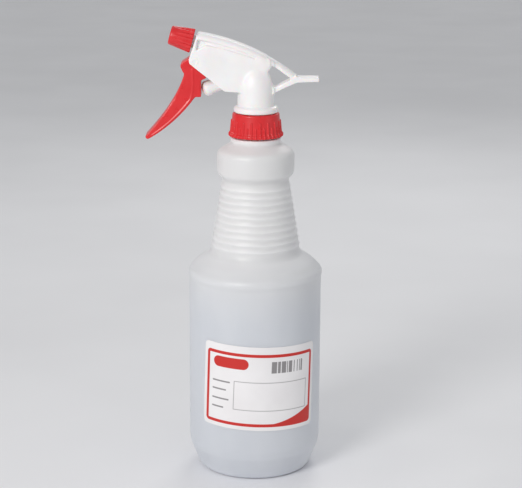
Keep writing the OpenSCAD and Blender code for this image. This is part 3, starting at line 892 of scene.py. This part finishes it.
def round_spine(points):
    """Carries the corner's points from a square onto a circle."""
    depth, outward, nearest = below_spine(points)
    half = np.where(points[:, 0] > TAIL_FROM, TAIL_HALF, CHEEK_HALF)
    side = np.abs(points[:, 1]) - (half - SPINE_ROUND)
    up = SPINE_ROUND - depth
    near = (side > 0) & (up > 0) & (depth > -1) & (nearest > 0) & (nearest < len(SPINE) - 1)
    shrink = np.where(near, np.maximum(side, up) / np.sqrt(side**2 + up**2 + 1e-9), 1)
    new_side, new_up = side * shrink, up * shrink
    out = points.copy()
    out[near, 1] = (np.sign(points[:, 1]) * (half - SPINE_ROUND + new_side))[near]
    move = (new_up - up)[:, None] * outward
    out[near, 0] += move[near, 0]
    out[near, 2] += move[near, 1]
    return out


HINGE_RING_R, HINGE_RING_RISE, HINGE_RING_HALF_WIDTH = 1.9, 0.16, 0.35
HINGE_DIMPLE_R, HINGE_DIMPLE_DEPTH = 1.3, 0.12


def mark_hinge(points):
    """A faint ring round a dimple on each cheek, where the mould forms the seat of the pin."""
    pin = (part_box("pivot_pin")[0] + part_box("pivot_pin")[1]) / 2 / MM
    away = np.hypot(points[:, 0] - pin.x, points[:, 2] - pin.z)
    on_cheek = np.abs(points[:, 1]) > CHEEK_HALF - 0.3
    height = HINGE_RING_RISE * np.exp(-(((away - HINGE_RING_R) / HINGE_RING_HALF_WIDTH) ** 2))
    height -= HINGE_DIMPLE_DEPTH * np.exp(-((away / HINGE_DIMPLE_R) ** 4))
    out = points.copy()
    out[:, 1] += np.where(on_cheek, np.sign(points[:, 1]) * height, 0)
    return out


POCKET_HALF, POCKET_EXTRA = 6.1, 1.3


def deepen_pocket(points):
    """Sinks the floor of the pocket behind the nozzle, and fades out along the strip."""
    side = np.abs(points[:, 1])
    share = np.clip((CHEEK_HALF - side) / (CHEEK_HALF - POCKET_HALF), 0, 1)
    share *= side > POCKET_HALF - 0.5
    share *= np.clip((-26 - points[:, 0]) / 5, 0, 1) * np.clip((points[:, 2] - 269.6) / 0.8, 0, 1)
    out = points.copy()
    out[:, 1] -= np.sign(points[:, 1]) * POCKET_EXTRA * share
    return out


set_points(shroud, mark_hinge(round_spine(deepen_pocket(points_of(shroud)))))


# %% Relax the flow into the sleeve
def relax_where(obj, weight, times, axes=(0, 1, 2)):
    """Moves each point towards the middle of its neighbours, by its own weight, along some axes."""
    points = points_of(obj)
    edges = np.zeros(len(obj.data.edges) * 2, int)
    obj.data.edges.foreach_get("vertices", edges)
    a, b = edges.reshape(-1, 2).T
    count = np.bincount(a, minlength=len(points)) + np.bincount(b, minlength=len(points))
    for _ in range(times):
        for axis in axes:
            total = np.bincount(a, points[b, axis], len(points))
            total += np.bincount(b, points[a, axis], len(points))
            points[:, axis] += weight * (total / np.maximum(count, 1) - points[:, axis])
    set_points(obj, points)


here = points_of(shroud)
ramp_up = np.clip((here[:, 2] - 240.5) / 4, 0, 1) * np.clip((263 - here[:, 2]) / 3, 0, 1)
ramp_side = np.clip((here[:, 0] + 15) / 3, 0, 1) * np.clip((14.5 - here[:, 0]) / 2.5, 0, 1)
outermost = np.clip((np.abs(here[:, 1]) - 6.9) / 0.4, 0, 1)
relax_where(shroud, 0.5 * ramp_up * ramp_side * outermost, 45)
tail_root = np.clip((here[:, 0] - 3) / 3, 0, 1) * np.clip((16 - here[:, 0]) / 3, 0, 1)
tail_root *= np.clip((here[:, 2] - 247) / 4, 0, 1)
relax_where(shroud, 0.5 * tail_root, 220, axes=(1,))
relax_where(shroud, np.full(len(here), 0.3), 2)
dress(shroud, "head", white, "white_plastic", "shroud")

# %% [markdown]
# ## The trigger
# The trigger hangs from a pin between the shroud's cheeks. Its front is a long hollow curve for
# the fingers, its edges are rounded, and a low bead runs down each side near the back edge. The
# bead is raised by lifting the side's points that lie close to a line, so it melts into the side.

# %% Wrap the trigger and raise its bead
trigger = wrapped("trigger_skin", "trigger", SQUARE, 7)
upper_bead = bow((-39.4, 258.5), (-38.2, 247), (-40.4, 240.5), 40)
lower_bead = bow((-40.6, 240), (-51, 226.4), (-64.5, 217.6), 60)
BEAD_LINE = np.array(upper_bead + lower_bead)
BEAD_HEIGHT, BEAD_HALF_WIDTH = 0.32, 0.55
ARM_HALF, GRIP_HALF, GRIP_TOP, CHANNEL_HALF = 5.7, 7.0, 239, 5.05


def raise_bead(points):
    """Lifts a low bead out of each side, along the bead's line."""
    _, gap = nearest_on(BEAD_LINE, points)
    on_side = np.clip((np.abs(points[:, 1]) - 5.2) / 0.4, 0, 1)
    height = BEAD_HEIGHT * np.exp(-((gap / BEAD_HALF_WIDTH) ** 2)) * on_side
    out = points.copy()
    out[:, 1] += np.sign(points[:, 1]) * height
    return out


def widen_grip(points):
    """Spreads the step between the trigger's arm and its wider grip over a long slope."""
    t = np.clip((points[:, 2] - 228) / 15, 0, 1)
    half = GRIP_HALF - (GRIP_HALF - ARM_HALF) * t * t * (3 - 2 * t)
    was = np.where(points[:, 2] > GRIP_TOP, ARM_HALF, GRIP_HALF)
    side = np.abs(points[:, 1])
    stretch = (half - CHANNEL_HALF) / (was - CHANNEL_HALF)
    moved = CHANNEL_HALF + (np.minimum(side, was) - CHANNEL_HALF) * stretch
    out = points.copy()
    out[:, 1] = np.where(side > CHANNEL_HALF, np.sign(points[:, 1]) * moved, points[:, 1])
    return out


set_points(trigger, widen_grip(points_of(trigger)))
step_zone = np.clip(1 - np.abs(points_of(trigger)[:, 2] - GRIP_TOP) / 4, 0, 1)
relax_where(trigger, 0.5 * step_zone, 25, axes=(1,))
set_points(trigger, raise_bead(points_of(trigger)))
dress(trigger, "lever", red, "red_plastic", "trigger")
pump = wrapped("pump_moulding", "pump_body", SQUARE * 0.9, 3)
dress(pump, "head", white, "white_plastic", "pump_body")

# %% [markdown]
# ## The pin and the small parts
# The pin that the trigger hangs on shows as a small round dimple in each cheek. It is turned,
# with a rounded end. The parts that stay inside, from the dip tube to the seals, keep their
# working shapes, which are plain turned forms, and only take their finish.

# %% Turn the pin
pin_low, pin_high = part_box("pivot_pin")
pin_place = Matrix.Translation((pin_low + pin_high) / 2) @ Matrix.Rotation(math.pi / 2, 4, "X")
half = (pin_high.y - pin_low.y) / 2 / MM
PIN_EDGE = 0.3
pin_line = [(0, -half)] + arc((1.5 - PIN_EDGE, PIN_EDGE - half), PIN_EDGE, -90, 0, 4)
pin_line += arc((1.5 - PIN_EDGE, half - PIN_EDGE), PIN_EDGE, 0, 90, 4) + [(0, half)]
pin = turned("hinge_pin", short_steps(pin_line, 1.5), 48, pin_place, closed=False)
dress(pin, "head", white, "white_plastic", "pivot_pin")

# %% Finish the parts inside
inside_finishes = {
    "dip_tube": tubing, "tube_holder": white, "gasket": liner, "inlet_ball": steel,
    "piston_seal": rubber, "vent_seal": rubber, "discharge_valve": rubber,
    "swirl_insert": white, "nozzle_seal": rubber, "barrel_plug": white,
}
for node, chosen in inside_finishes.items():
    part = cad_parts[node]
    if not part.material_slots:
        part.data.materials.append(chosen)
    for place_for_finish in part.material_slots:
        place_for_finish.material = chosen
print("parts inside with a finish:", len(inside_finishes))
